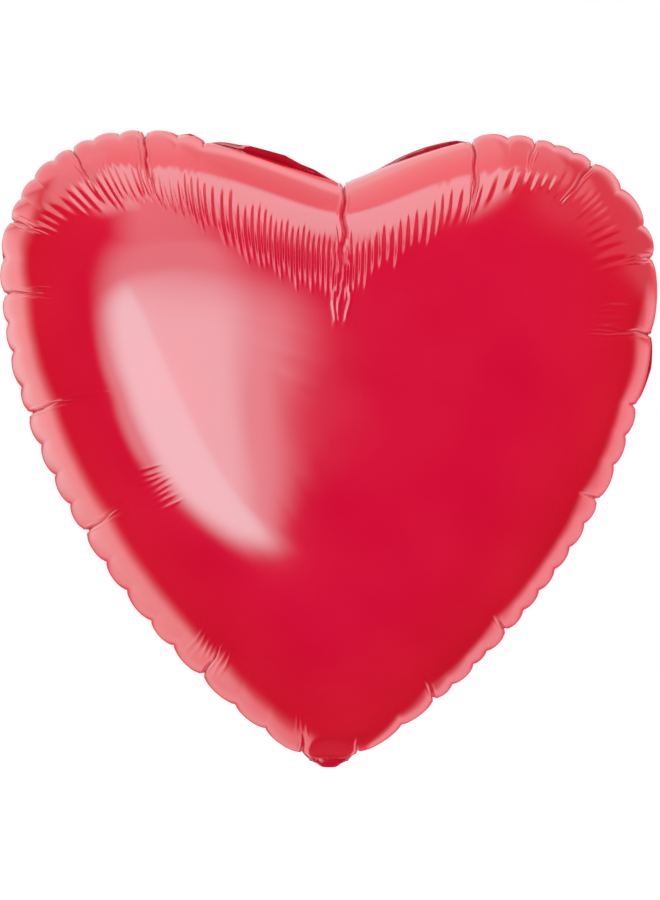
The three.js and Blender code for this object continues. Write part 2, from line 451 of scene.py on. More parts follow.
# Short stress wrinkles side by side: clock angle, start and end inside the weld in millimetres, how many,
# their pitch and their height in millimetres. The first ones braid the long creases.
TICKS = (
    (3.6, 36, 78, 4, 2.2, 0.42),
    (28.3, 18, 50, 3, 2.2, 0.40),
    (37.9, 6, 20, 3, 2.2, 0.35),
    (47.5, 8, 38, 3, 2.4, 0.40),
    (65.5, 5, 18, 3, 2.4, 0.35),
    (77.7, 14, 40, 3, 2.4, 0.35),
    (74.8, 20, 42, 4, 4.2, 0.30),
    (184.8, 12, 24, 3, 4.0, 0.30),
    (206.0, 6, 26, 7, 4.2, 0.35),
    (240.0, 24, 34, 3, 4.2, 0.25),
    (243.0, 42, 60, 8, 4.4, 0.12),
    (242.5, 8, 30, 3, 2.4, 0.40),
    (268.4, 6, 44, 3, 2.4, 0.35),
    (288.9, 8, 34, 4, 2.2, 0.35),
    (300.1, 4, 24, 4, 2.2, 0.40),
    (314.9, 10, 34, 3, 2.4, 0.40),
    (325.9, 8, 46, 4, 2.4, 0.45),
)

# Where the rear film stands out past the front one: clock angle and how far, in millimetres.
REAR_BULGE = (
    (3.6, 0),
    (12, 0.8),
    (16, 2.2),
    (21, 3.2),
    (26, 2.0),
    (28.3, 0),
    (75, 0),
    (78, 1.4),
    (83, 2.4),
    (88, 1.2),
    (90.2, 0),
    (292, 0),
    (294.6, 1.2),
    (297, 0),
    (329.5, 0),
    (332.3, 1.8),
    (334.9, 0),
    (337, 2.0),
    (342, 4.4),
    (349, 5.2),
    (356, 3.0),
    (1.5, 0.8),
)

NO_BULGE = ((0, 0), (180, 0))

REAR_PLEATS = tuple((clock, start, end - 4, 0.8 * tall, pitch) for clock, start, end, tall, pitch in PLEATS)
REAR_TICKS = (
    (3.6, 30, 66, 4, 2.4, 0.5),
    (47.5, 8, 38, 4, 2.4, 0.4),
    (62.0, 20, 38, 5, 4.2, 0.3),
    (118.0, 8, 26, 6, 4.2, 0.3),
    (230.0, 22, 42, 6, 4.2, 0.25),
    (286.0, 12, 30, 5, 4.2, 0.3),
    (325.9, 8, 40, 4, 2.4, 0.4),
)


PINCH_WIDTH = 0.55 * MM      # half of the shaded line in the bottom of a crease


class Weld:
    """The gathered weld that both films share: creases, the scallops between them, and its sway."""

    def __init__(self, seam, gathers):
        self.seam = seam
        self.gathers = gathers
        random = np.random.default_rng(gathers.seed)
        places = seam.clock_to_s([row[0] for row in CREASES])
        order = np.argsort(places)
        self.crease_s = places[order]
        self.creases = [CREASES[k] for k in order]
        self.cusps, self.fullness = self.scallop_ends(random)
        wander = soften(random.normal(0, 1, LOOP_POINTS), 11 * MM, seam.length)
        calm = smooth_step(0, 25 * MM, seam.points[:, 1] - PANEL_LOW.z)
        self.sway = gathers.sway * calm * wander / wander.std()

    def scallop_ends(self, random):
        """Ends of the scallops: every main crease, and evenly but not exactly spaced points between."""
        ends, fullness = [], []
        count = len(self.creases)
        for k in range(count):
            start = self.crease_s[k]
            stop = self.crease_s[(k + 1) % count] + (self.seam.length if k == count - 1 else 0)
            scallops, full = self.creases[k][3:5]
            edges = np.linspace(start, stop, scallops + 1)
            shift = random.uniform(-0.14, 0.14, scallops + 1) * (stop - start) / scallops
            shift[[0, -1]] = 0
            ends.extend((edges + shift)[:-1])
            fullness.extend([full] * scallops)
        ends = np.mod(np.array(ends), self.seam.length)
        order = np.argsort(ends)
        return ends[order], np.array(fullness)[order]

    def scallops(self, s, climb):
        """Puffed cells between the gathers, fading up the dome."""
        cell = np.searchsorted(self.cusps, s, side="right") - 1
        left = self.cusps[cell]
        width = np.mod(self.cusps[(cell + 1) % len(self.cusps)] - left, self.seam.length)
        u = np.mod(s - left, self.seam.length) / width
        rise = np.minimum(self.gathers.scallop_share * width, self.gathers.scallop_limit)
        arch = (4 * u * (1 - u)) ** 0.65
        reach = 0.45 * width + 7 * MM
        puff = 0.35 + 0.65 * smooth_step(0, 6 * MM, climb)
        return rise * self.fullness[cell] * arch * puff * np.exp(-((climb / reach) ** 1.5))

    def off_crease(self, s, inset, place, length, phase, lean):
        """Signed distance from a crease's wavering bottom line."""
        waver = 0.8 * MM * np.sin(inset / (3.6 * MM) + phase) * np.clip(inset / length * 4, 0, 1)
        return self.seam.gap(s, place) - waver - lean * inset

    def creased(self, s, inset, lengths, phases, leans):
        """The main creases: a sharp wavering valley with a raised lip on either side, in a shallow hollow."""
        total = np.zeros(np.broadcast(s, inset).shape)
        rows = zip(self.crease_s, self.creases, lengths, phases, leans)
        for place, (_, _, depth, *_), length, phase, lean in rows:
            down = inset / length
            x = self.off_crease(s, inset, place, length, phase, lean)
            wide = 0.34 * np.exp(-((x / (3.5 * MM)) ** 2)) * (0.35 + 0.65 * np.exp(-inset / (9 * MM)))
            valley = -0.66 * np.exp(-np.abs(x) / (0.65 * MM)) - wide
            lips = 0.18 * np.exp(-(((np.abs(x) - 1.7 * MM) / (0.7 * MM)) ** 2))
            hollow = -0.8 * MM * np.exp(-((x / (13 * MM)) ** 2)) * np.exp(-((inset / (1.1 * length)) ** 2))
            hollow = hollow * smooth_step(0, 8 * MM, inset) * (1 - smooth_step(30 * MM, 80 * MM, inset))
            fade = np.clip(1 - down, 0, 1) ** 1.1
            total += depth * MM * fade * (valley + lips) + hollow
        return total

    def shade_mask(self, s, inset, lengths, phases, leans):
        """Mask for the painted shade: 1 along the bottom of each main crease, 0 away from them."""
        total = np.zeros(np.broadcast(s, inset).shape)
        for place, length, phase, lean in zip(self.crease_s, lengths, phases, leans):
            x = self.off_crease(s, inset, place, length, phase, lean)
            fade = 1 - smooth_step(0.5, 1, inset / length)
            total = np.maximum(total, np.exp(-((x / PINCH_WIDTH) ** 2)) * fade)
        return total

    def out(self, s):
        """How far the weld line itself stands outside the smooth seam."""
        zero = np.zeros(s.shape)
        count = len(self.creases)
        full_length = np.full(count, 20 * MM)
        return self.scallops(s, zero) + self.creased(s, zero, full_length, np.zeros(count), np.zeros(count))


PLAIN_SPACING = 1.25 * MM    # from one line of the mesh to the next along a plain stretch of weld
PLEAT_DRAWS = 512            # pleats that get a random height and ends before the draws repeat


class Wrinkles:
    """Everything that the gathering adds to one smooth dome, as a height along its normal."""

    def __init__(self, weld, pleats, ticks, seed, same_lengths):
        self.weld = weld
        self.seam = weld.seam
        self.rows = pleats
        self.pitch = self.seam.guide(self.seam.s, pleats, 4) * weld.gathers.pleat_scale
        self.ticks = ticks
        self.random = np.random.default_rng(weld.gathers.seed + seed)
        count = len(weld.creases)
        change = np.ones(count) if same_lengths else self.random.uniform(0.6, 1.5, count)
        self.lengths = np.array([row[1] for row in weld.creases]) * MM * change
        self.phases = self.random.uniform(0, 2 * np.pi, count)
        self.leans = self.random.uniform(-0.05, 0.05, count)

    def column_places(self):
        """Where the mesh's lines start, close together at creases, pleats and ticks."""
        s = self.seam.s
        spacing = np.full(len(s), PLAIN_SPACING)
        pleated = self.seam.guide(s, self.rows, 3) > 0.03 * MM
        spacing[pleated] = (self.pitch / 9 / self.spread(s))[pleated]
        for place in self.weld.crease_s:
            away = np.abs(self.seam.gap(s, place))
            close = 0.4 * MM + 0.85 * MM * smooth_step(4 * MM, 9 * MM, away)
            spacing = np.minimum(spacing, close)
        for clock, _, _, count, pitch, _ in self.ticks:
            away = np.abs(self.seam.gap(s, self.seam.clock_to_s(clock)))
            near = away < (count / 2 + 0.5) * pitch * MM
            spacing[near] = np.minimum(spacing[near], pitch * MM / 7)
        density = soften(1 / spacing, 1.5 * MM, self.seam.length)
        along = np.concatenate(([0], np.cumsum(density)))
        grid = np.append(s, self.seam.length)
        return np.interp(np.arange(COLUMNS) / COLUMNS * along[-1], along, grid)

    def spread(self, s):
        """How much wider apart neighbouring lines are at the pleats' depth than at the weld."""
        step, depth = 1 * MM, 50 * MM
        ahead = self.seam.at(s + step, self.seam.points) + self.seam.at(s + step, self.seam.eased) * depth
        behind = self.seam.at(s - step, self.seam.points) + self.seam.at(s - step, self.seam.eased) * depth
        return np.clip(np.linalg.norm(ahead - behind, axis=-1) / (2 * step), 0.6, 2.5)

    def pleated(self, grid):
        """Fine parallel pleats that taper to points towards the crown."""
        start, end, height = (self.seam.guide(grid.s, self.rows, column) for column in (1, 2, 3))
        turn = np.cumsum(self.spread(self.seam.s) / self.pitch) * (self.seam.length / LOOP_POINTS)
        drift = soften(self.random.normal(0, 1, LOOP_POINTS), 9 * MM, self.seam.length)
        phase = np.interp(grid.s, self.seam.s, turn + 0.35 * drift / drift.std())
        index = np.floor(phase).astype(int) % PLEAT_DRAWS
        tall = self.random.uniform(0.6, 1.15, PLEAT_DRAWS)[index]
        end = end + self.random.uniform(-5, 4, PLEAT_DRAWS)[index] * MM
        start = start + self.random.uniform(-3, 3, PLEAT_DRAWS)[index] * MM
        down = (grid.inset - start) / (end - start)
        swell = smooth_step(0, 0.4, down) * (1 - smooth_step(0.7, 1.0, down))
        point = 1 + 3 * np.clip(down, 0, 1) ** 3
        ridge = np.abs(np.sin(np.pi * (phase - np.floor(phase)))) ** point
        return 0.72 * height * tall * swell * ridge

    def ticked(self, grid):
        """Short ridges side by side where the film is strained next to a crease."""
        total = np.zeros(grid.inset.shape)
        for clock, start, end, count, pitch, height in self.ticks:
            middle = self.seam.clock_to_s(clock)
            for k in range(count):
                off = ((k - (count - 1) / 2) * pitch + self.random.uniform(-0.12, 0.12) * pitch) * MM
                early, late = self.random.uniform(-0.25, 0.25, 2) * (end - start)
                down = (grid.inset / MM - start - early) / (end + late - start - early)
                swell = np.sin(np.pi * np.clip(down, 0, 1)) ** 0.7
                bend = 0.6 * MM * np.sin(grid.inset / (3.5 * MM) + k)
                x = self.seam.gap(grid.s, middle + off) + bend
                total += height * MM * swell * np.exp(-((x / (0.24 * pitch * MM)) ** 2))
        return total

    def painted_shade(self, grid):
        """Painted shade: 1 where the film folds shut, in the main creases and against the weld."""
        in_neck = 1 - smooth_step(0.5 * MM, 2 * MM, grid.plan[0, :, 1] - PANEL_LOW.z)
        at_weld = 0.8 * (1 - smooth_step(0.3 * MM, 1.8 * MM, grid.climb)) * (1 - in_neck)
        in_crease = self.weld.shade_mask(grid.s, grid.inset, self.lengths, self.phases, self.leans)
        return np.maximum(at_weld, in_crease)

    def relief(self, grid):
        creased = self.weld.creased(grid.s, grid.inset, self.lengths, self.phases, self.leans)
        return self.weld.scallops(grid.s, grid.climb) + creased + self.pleated(grid) + self.ticked(grid)


# ---- meshes --------------------------------------------------------------------------------------------


def mesh_object(name, points, faces, material):
    """A smooth-shaded mesh object at the origin."""
    mesh = bpy.data.meshes.new(name)
    mesh.from_pydata(np.asarray(points).reshape(-1, 3).tolist(), [], faces)
    if mesh.validate():
        raise RuntimeError(f"{name} had broken faces")
    mesh.polygons.foreach_set("use_smooth", [True] * len(mesh.polygons))
    mesh.materials.append(material)
    obj = bpy.data.objects.new(name, mesh)
    bpy.context.scene.collection.objects.link(obj)
    return obj


def thinned_rows(grid, table):
    """Rows of a per-point table, keeping only the columns that the mesh keeps."""
    return [table[j, :: grid.strides[j]] for j in range(len(table))]


def dome_faces(lengths):
    """Faces between rows that have the same number of points, or half as many, and a closing pole."""
    starts = np.concatenate(([0], np.cumsum(lengths))).tolist()
    faces = []
    for low, high, wide, narrow in zip(starts, starts[1:], lengths, lengths[1:]):
        if wide == narrow:
            for k in range(wide):
                n = (k + 1) % wide
                faces.append((low + k, low + n, high + n, high + k))
            continue
        for k in range(narrow):
            a, b, c = low + 2 * k, low + 2 * k + 1, low + (2 * k + 2) % wide
            here, ahead = high + k, high + (k + 1) % narrow
            faces.extend(((a, b, here), (b, c, ahead), (b, ahead, here)))
    last, count = starts[-2], lengths[-1]
    faces.extend((last + k, last + (k + 1) % count, starts[-1]) for k in range(count))
    return faces


def loop_faces(rows, around, closed):
    """Faces of a tube given as rows of points round it; a closed tube's last row joins its first."""
    faces = []
    for j in range(rows if closed else rows - 1):
        low, high = j * around, (j + 1) % rows * around
        for k in range(around):
            n = (k + 1) % around
            faces.append((low + k, low + n, high + n, high + k))
    return faces


def rib_tree(name):
    """Crimp ribs: small bars set across a path at an even pitch."""
    tree = bpy.data.node_groups.new(name, "GeometryNodeTree")
    sockets = (
        ("Geometry", "NodeSocketGeometry"), ("Pitch", "NodeSocketFloat"), ("Length", "NodeSocketFloat"),
        ("Width", "NodeSocketFloat"), ("Height", "NodeSocketFloat"), ("Seed", "NodeSocketInt"),
        ("Material", "NodeSocketMaterial"),
    )
    for label, kind in sockets:
        tree.interface.new_socket(label, in_out="INPUT", socket_type=kind)
    tree.interface.new_socket("Geometry", in_out="OUTPUT", socket_type="NodeSocketGeometry")
    given = tree.nodes.new("NodeGroupInput").outputs
    curve = add_node(tree, "GeometryNodeMeshToCurve", Mesh=given["Geometry"])
    marks = add_node(tree, "GeometryNodeResampleCurve", {"mode": "LENGTH"}, Curve=curve.outputs[0],
                     Length=given["Pitch"])
    size = add_node(tree, "ShaderNodeCombineXYZ", X=given["Length"], Y=given["Width"], Z=given["Height"])
    bar = add_node(tree, "GeometryNodeMeshCube", Size=size.outputs[0])
    across = add_node(tree, "GeometryNodeInputNamedAttribute", {"data_type": "FLOAT_VECTOR"}, Name="across")
    face = add_node(tree, "GeometryNodeInputNamedAttribute", {"data_type": "FLOAT_VECTOR"}, Name="face")
    turned = add_node(tree, "FunctionNodeAlignRotationToVector", {"axis": "X"}, Vector=across.outputs[0])
    laid = add_node(tree, "FunctionNodeAlignRotationToVector", {"axis": "Z", "pivot_axis": "X"},
                    Rotation=turned.outputs[0], Vector=face.outputs[0])
    uneven = add_node(tree, "FunctionNodeRandomValue", {"data_type": "FLOAT"}, _2=0.85, _3=1.1,
                      Seed=given["Seed"])
    bars = add_node(tree, "GeometryNodeInstanceOnPoints", Points=marks.outputs[0], Instance=bar.outputs[0],
                    Rotation=laid.outputs[0], Scale=uneven.outputs[1])
    real = add_node(tree, "GeometryNodeRealizeInstances", Geometry=bars.outputs[0])
    done = add_node(tree, "GeometryNodeSetMaterial", Geometry=real.outputs[0], Material=given["Material"])
    add_node(tree, "NodeGroupOutput", Geometry=done.outputs[0])
    return tree


def crimp_ribs(name, path, across, face, length, height, material, body):
    """Ribs along a path, made by geometry nodes and turned into a plain mesh."""
    edges = [(k, k + 1) for k in range(len(path) - 1)]
    mesh = bpy.data.meshes.new(name + "_path")
    mesh.from_pydata(path.tolist(), edges, [])
    for label, vectors in (("across", across), ("face", face)):
        layer = mesh.attributes.new(label, "FLOAT_VECTOR", "POINT")
        layer.data.foreach_set("vector", vectors.astype(np.float32).ravel())
    guide = bpy.data.objects.new(name + "_path", mesh)
    bpy.context.scene.collection.objects.link(guide)
    weld = bpy.context.scene.heart_weld
    modifier = guide.modifiers.new("ribs", "NODES")
    tree = rib_tree(name)
    values = {"Pitch": weld.rib_pitch, "Length": length, "Width": weld.rib_width, "Height": height, "Seed": 3,
              "Material": material}
    modifier.node_group = tree
    for item in tree.interface.items_tree:
        if item.in_out == "INPUT" and item.name in values:
            modifier[item.identifier] = values[item.name]
    view = bpy.context.evaluated_depsgraph_get()
    ribs = bpy.data.objects.new(name, bpy.data.meshes.new_from_object(guide.evaluated_get(view)))
    bpy.context.scene.collection.objects.link(ribs)
    bpy.data.objects.remove(guide)
    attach(ribs, body)
    return ribs


# ---- materials -----------------------------------------------------------------------------------------


def colour(code):
    """Linear RGBA from an sRGB hex code."""
    parts = [int(code[k : k + 2], 16) / 255 for k in (1, 3, 5)]
    return (*(c / 12.92 if c <= 0.04045 else ((c + 0.055) / 1.055) ** 2.4 for c in parts), 1.0)


def add_node(tree, kind, settings=None, **inputs):
    """A node with its settings; an input is a value, or an output socket to link."""
    node = tree.nodes.new(kind)
    for name, value in (settings or {}).items():
        setattr(node, name, value)
    for name, value in inputs.items():
        key = int(name[1:]) if name[0] == "_" and name[1:].isdigit() else name.replace("_", " ")
        socket = node.inputs[key]
        if isinstance(value, bpy.types.NodeSocket):
            tree.links.new(value, socket)
        else:
            socket.default_value = value
    return node


def new_material(name):
    material = bpy.data.materials.new(name)
    material.use_nodes = True
    material.node_tree.nodes.clear()
    return material, material.node_tree


FROM_WELD = "from_weld"      # attribute: distance from the weld over the film, in metres
PAINTED_SHADE = "painted_shade"            # attribute: painted shade, 1 where the film folds shut in a crease, at the weld and at the tail's fold


def metallised_nylon():
    """Printed metallised nylon laminated with polyethylene: deep red under a clear, slightly soft gloss."""
    finish = bpy.context.scene.heart_finish
    material, tree = new_material("metallised_nylon_film")
    place = add_node(tree, "ShaderNodeTexCoord").outputs["Object"]
    inset = add_node(tree, "ShaderNodeAttribute", {"attribute_name": FROM_WELD}).outputs["Fac"]
    # Painted shade: the red turns warmer towards the weld, as the steep rim looks under the lights, over 30
    # to 120 mm in.
    crown = add_node(tree, "ShaderNodeMapRange", {"interpolation_type": "SMOOTHSTEP"}, Value=inset,
                     _1=30 * MM, _2=120 * MM, _3=0.0, _4=1.0)
    ink_and_rim_shade = add_node(tree, "ShaderNodeMix", {"data_type": "RGBA"}, _0=crown.outputs[0],
                   _6=colour(finish.rim_shade_colour), _7=colour(finish.foil_colour))
    cloud = add_node(tree, "ShaderNodeTexNoise", Vector=place, Scale=1 / (60 * MM), Detail=2.0, Roughness=0.5)
    print_depth = add_node(tree, "ShaderNodeMapRange", Value=cloud.outputs[0],
                           _1=0.3, _2=0.7, _3=0.96, _4=1.04)
    tint = add_node(tree, "ShaderNodeHueSaturation", Value=print_depth.outputs[0], Color=ink_and_rim_shade.outputs[2])
    crinkle = add_node(tree, "ShaderNodeTexNoise", Vector=place, Scale=1 / finish.crinkle_size, Detail=3.0,
                       Roughness=0.5)
    gathered = add_node(tree, "ShaderNodeMapRange", {"interpolation_type": "SMOOTHSTEP"}, Value=inset,
                        _1=0.0, _2=45 * MM, _3=0.30, _4=0.06)
    bump = add_node(tree, "ShaderNodeBump", Strength=gathered.outputs[0], Distance=0.12 * MM,
                    Height=crinkle.outputs[0])
    haze = add_node(tree, "ShaderNodeMapRange", Value=cloud.outputs[0], _1=0.3, _2=0.7, _3=0.09, _4=0.13)
    # Painted shade: where the attribute is 1, the red is mixed to the crease shade colour and the gloss and
    # coat are taken away.
    shade_mask = add_node(tree, "ShaderNodeAttribute", {"attribute_name": PAINTED_SHADE}).outputs["Fac"]
    shaded = add_node(tree, "ShaderNodeMix", {"data_type": "RGBA"}, _0=shade_mask, _6=tint.outputs[0],
                      _7=colour(finish.crease_shade_colour))
    open_share = add_node(tree, "ShaderNodeMath", {"operation": "SUBTRACT"}, _0=1.0, _1=shade_mask)
    shader = add_node(
        tree, "ShaderNodeBsdfPrincipled", Base_Color=shaded.outputs[2], Metallic=0.03,
        Roughness=haze.outputs[0], IOR=1.65, Specular_IOR_Level=open_share.outputs[0],
        Coat_Weight=open_share.outputs[0], Coat_Roughness=0.05, Coat_IOR=1.65, Normal=bump.outputs[0],
    )
    add_node(tree, "ShaderNodeOutputMaterial", Surface=shader.outputs[0])
    return material


def crimped_weld():
    """Film melted together between hot jaws: duller and a shade darker, with a fine grain from the jaws."""
    material, tree = new_material("heat_sealed_film")
    place = add_node(tree, "ShaderNodeTexCoord").outputs["Object"]
    grain = add_node(tree, "ShaderNodeTexNoise", Vector=place, Scale=1 / (1.2 * MM), Detail=2.0)
    patch = add_node(tree, "ShaderNodeTexNoise", Vector=place, Scale=1 / (14 * MM), Detail=2.0)
    shade = add_node(tree, "ShaderNodeMapRange", Value=patch.outputs[0], _1=0.3, _2=0.7, _3=0.88, _4=1.12)
    tint = add_node(tree, "ShaderNodeHueSaturation", Value=shade.outputs[0],
                    Color=colour(bpy.context.scene.heart_finish.weld_colour))
    bump = add_node(tree, "ShaderNodeBump", Strength=0.35, Distance=0.1 * MM, Height=grain.outputs[0])
    rough = add_node(tree, "ShaderNodeMapRange", Value=grain.outputs[0], _1=0.3, _2=0.7, _3=0.38, _4=0.52)
    shader = add_node(
        tree, "ShaderNodeBsdfPrincipled", Base_Color=tint.outputs[0], Metallic=0.1,
        Roughness=rough.outputs[0], IOR=1.5, Specular_IOR_Level=0.35, Normal=bump.outputs[0],
    )
    add_node(tree, "ShaderNodeOutputMaterial", Surface=shader.outputs[0])
    return material


def valve_polyethylene():
    """Blown low-density polyethylene: thin, milky and waxy, with faint flow lines along its length."""
    material, tree = new_material("blown_polyethylene_film")
    place = add_node(tree, "ShaderNodeTexCoord").outputs["Object"]
    drawn = add_node(tree, "ShaderNodeMapping", Vector=place, Scale=(1.0, 1.0, 0.12))
    flow = add_node(tree, "ShaderNodeTexNoise", Vector=drawn.outputs[0], Scale=1 / (2.5 * MM), Detail=3.0)
    cloud = add_node(tree, "ShaderNodeTexNoise", Vector=place, Scale=1 / (12 * MM), Detail=2.0)
    milk = add_node(tree, "ShaderNodeMapRange", Value=cloud.outputs[0], _1=0.3, _2=0.7, _3=0.92, _4=1.05)
    tint = add_node(tree, "ShaderNodeHueSaturation", Value=milk.outputs[0],
                    Color=colour(bpy.context.scene.heart_finish.valve_colour))
    rough = add_node(tree, "ShaderNodeMapRange", Value=flow.outputs[0], _1=0.3, _2=0.7, _3=0.28, _4=0.42)
    bump = add_node(tree, "ShaderNodeBump", Strength=0.3, Distance=0.1 * MM, Height=flow.outputs[0])
    shader = add_node(
        tree, "ShaderNodeBsdfPrincipled", Base_Color=tint.outputs[0], Roughness=rough.outputs[0], IOR=1.51,
        Transmission_Weight=0.35, Subsurface_Weight=0.2, Subsurface_Scale=1 * MM, Normal=bump.outputs[0],
    )
    add_node(tree, "ShaderNodeOutputMaterial", Surface=shader.outputs[0])
    return material


def shared_material(name, maker):
    return bpy.data.materials.get(name) or maker()


# ---- envelope ------------------------------------------------------------------------------------------


def gathered_weld():
    scene = bpy.context.scene
    return Weld(Seam(scene.heart_shape), scene.heart_gathers)


def front_wrinkles(weld):
    return Wrinkles(weld, PLEATS, TICKS, 0, True)


def dome_columns(weld):
    """Both films start their lines at the same places on the weld, so that their edges meet."""
    return front_wrinkles(weld).column_places()


def film_attributes(obj, from_weld, painted_shade):
    """What the film's material reads at each point of the mesh."""
    for label, values in ((FROM_WELD, from_weld), (PAINTED_SHADE, painted_shade)):
        layer = obj.data.attributes.new(label, "FLOAT", "POINT")
        layer.data.foreach_set("value", values.astype(np.float32))


TAIL_ROOM = 2.5 * MM         # what the folded tail needs between its middle plane and the dome beside it


def press_for_tail(points):
    """Push the dome back where the tail folds up against it. The rear dome mirrors these points."""
    sine, cosine = math.sin(FOLD_ANGLE), math.cos(FOLD_ANGLE)
    climb = points[..., 2] - FOLD_AT.z
    along = -points[..., 1] * sine - climb * cosine
    lack = TAIL_ROOM - (climb * sine - points[..., 1] * cosine)
    press = (lack + np.sqrt(lack**2 + MM**2)) / 2
    press = press * (1 - smooth_step(16 * MM, 34 * MM, np.abs(points[..., 0])))
    press = press * smooth_step(0, 12 * MM, along)
    points[..., 1] -= press * cosine
    points[..., 2] += press * sine


def film_points(weld, wrinkles, columns, bulge):
    """The gathered dome with its crown towards the front, and its grid."""
    shape = bpy.context.scene.heart_shape
    seam = weld.seam
    grid = DomeGrid(seam, SoapFilm(seam, shape), columns, shape)
    points = grid.points + grid.normals * wrinkles.relief(grid)[..., None]
    out = -seam.at(columns, seam.eased)
    flap = seam.guide(columns, bulge, 1)
    fading = np.exp(-np.maximum(grid.climb - flap, 0) / (13 * MM))
    stand = flap * np.sin(np.pi / 2 * np.clip(grid.climb / np.maximum(flap, 0.1 * MM), 0, 1)) * fading
    points[..., 0] += out[:, 0] * stand
    points[..., 1] += 1.75 * np.minimum(grid.climb, flap) * fading
    points[..., 2] += out[:, 1] * stand
    press_for_tail(points)
    return points, grid


def dome(name, node, side, wrinkles, weld, columns, bulge):
    """One film as a mesh; side is -1 for the front and +1 for the rear."""
    points, grid = film_points(weld, wrinkles, columns, bulge)
    points[..., 1] *= -side
    fade = np.exp(-((grid.climb / (18 * MM)) ** 2))
    points[..., 1] += weld.seam.at(columns, weld.sway) * fade
    rows = thinned_rows(grid, points)
    pole = rows[-1].mean(axis=0)
    faces = dome_faces([len(row) for row in rows])
    if side > 0:
        faces = [face[::-1] for face in faces]
    material = shared_material("metallised_nylon_film", metallised_nylon)
    obj = mesh_object(name, np.concatenate(rows + [pole[None]]), faces, material)
    tables = (grid.climb, wrinkles.painted_shade(grid))
    film_attributes(obj, *(np.concatenate(thinned_rows(grid, table) + [table[-1, :1]]) for table in tables))
    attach(obj, "envelope")
    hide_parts(node)
    return obj


class BALLOON_OT_front_film(bpy.types.Operator):
    """Front panel: one gathered dome of metallised film"""

    bl_idname = "balloon.front_film"
    bl_label = "Front film"

    def execute(self, context):
        weld = gathered_weld()
        dome("front_film", "front_panel", -1, front_wrinkles(weld), weld, dome_columns(weld), NO_BULGE)
        return {"FINISHED"}


class BALLOON_OT_rear_film(bpy.types.Operator):
    """Rear panel: its own wrinkles, standing a little proud of the front one at the shoulders"""

    bl_idname = "balloon.rear_film"
    bl_label = "Rear film"

    def execute(self, context):
        weld = gathered_weld()
        wrinkles = Wrinkles(weld, REAR_PLEATS, REAR_TICKS, 100, False)
        dome("rear_film", "rear_panel", 1, wrinkles, weld, dome_columns(weld), REAR_BULGE)
        return {"FINISHED"}


# Across the flange: how far out and half of the thickness there, in millimetres.
FLANGE_STATIONS = ((-0.5, 0.20), (0.6, 0.17), (1.5, 0.15), (2.3, 0.05))


def flange_frame(weld, s):
    """Weld line, the flange's direction across and the normal of its face, at distances s."""
    seam = weld.seam
    out = -seam.at(s, seam.inward)
    edge = seam.at(s, seam.points) + out * weld.out(s)[:, None]
    line = np.stack((edge[:, 0], seam.at(s, weld.sway), edge[:, 1]), axis=1)
    random = np.random.default_rng(weld.gathers.seed + 40)
    lean = soften(random.normal(0, 1, LOOP_POINTS), 9 * MM, seam.length)
    tilt = bpy.context.scene.heart_weld.tilt + 0.08 * seam.at(s, lean / lean.std())
    away = np.stack((out[:, 0], np.zeros(len(s)), out[:, 1]), axis=1)
    back = np.array((0.0, 1.0, 0.0))
    across = away * np.cos(tilt)[:, None] + back * np.sin(tilt)[:, None]
    face = away * -np.sin(tilt)[:, None] + back * np.cos(tilt)[:, None]
    ruffle = np.cumsum(1 + 0.35 * seam.at(seam.s, lean / lean.std())) * seam.length / LOOP_POINTS
    ripple = 0.3 * MM * np.sin(2 * np.pi * np.interp(s, seam.s, ruffle) / (6 * MM))
    return line, across, face, ripple


def outside_neck(weld, s):
    """True where the flange runs: everywhere but across the open neck."""
    seam = weld.seam
    at = seam.at(s, seam.points)
    beside = np.abs(at[:, 0]) > bpy.context.scene.heart_shape.neck_half_width
    return beside | (at[:, 1] > PANEL_LOW.z + 0.6 * MM)


def tube_mesh(name, rings, closed, material, flip):
    """A closed mesh from rings of points; an open run of rings gets a cap at each end."""
    rows, around = rings.shape[:2]
    faces = loop_faces(rows, around, closed)
    if not closed:
        faces.append(tuple(range(around))[::-1])
        faces.append(tuple(range((rows - 1) * around, rows * around)))
    if flip:
        faces = [face[::-1] for face in faces]
    return mesh_object(name, rings, faces, material)


class BALLOON_OT_seam_flange(bpy.types.Operator):
    """Crimped flange of welded film round the seam, with its crimp ribs"""

    bl_idname = "balloon.seam_flange"
    bl_label = "Seam flange"

    def execute(self, context):
        weld = gathered_weld()
        s = dome_columns(weld)
        s = s[outside_neck(weld, s)]
        line, across, face, ripple = flange_frame(weld, s)
        material = shared_material("heat_sealed_film", crimped_weld)
        sides = [*FLANGE_STATIONS, *((wide, -thick) for wide, thick in reversed(FLANGE_STATIONS))]
        scale = context.scene.heart_weld.width / FLANGE_STATIONS[-1][0]
        rings = []
        for wide, thick in sides:
            lift = thick * MM + ripple * max(wide, 0) / FLANGE_STATIONS[-1][0]
            rings.append(line + across * wide * scale + face * lift[:, None])
        obj = tube_mesh("seam_flange", np.stack(rings, axis=1), False, material, True)
        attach(obj, "envelope")
        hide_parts("heat_seal_band")
        middle = line + across * (0.55 * context.scene.heart_weld.width) + face * (0.5 * ripple)[:, None]
        crimp_ribs("seam_crimp_ribs", middle, across, face, 1.3 * MM, 0.42 * MM, material, "envelope")
        return {"FINISHED"}


# ---- tail ----------------------------------------------------------------------------------------------

TAIL_LENGTH = 60 * MM
TAIL_HALF_WIDTH = 16 * MM
TAIL_WELD = 3 * MM
TAIL_WELD_END = 50 * MM
TAIL_START = -13 * MM        # the tail's film starts this far above the fold, inside the neck
FOLD_RADIUS = 1.8 * MM
FOLD_LIFT = 2.6 * MM         # the fold's corners stand this much above its middle
FOLD_PINCH = 2.2 * MM        # either side of the tail draws in this much at the fold
TAIL_SWELL = 1.25 * MM       # how far either ply stands off the tail's middle plane
MOUTH_SWELL = 0.35 * MM      # how much further they stand off at the open end
TAIL_SKIN = 0.12 * MM
TAIL_CORNER = 4 * MM         # radius of the open end's corners
TAIL_ACROSS = 48


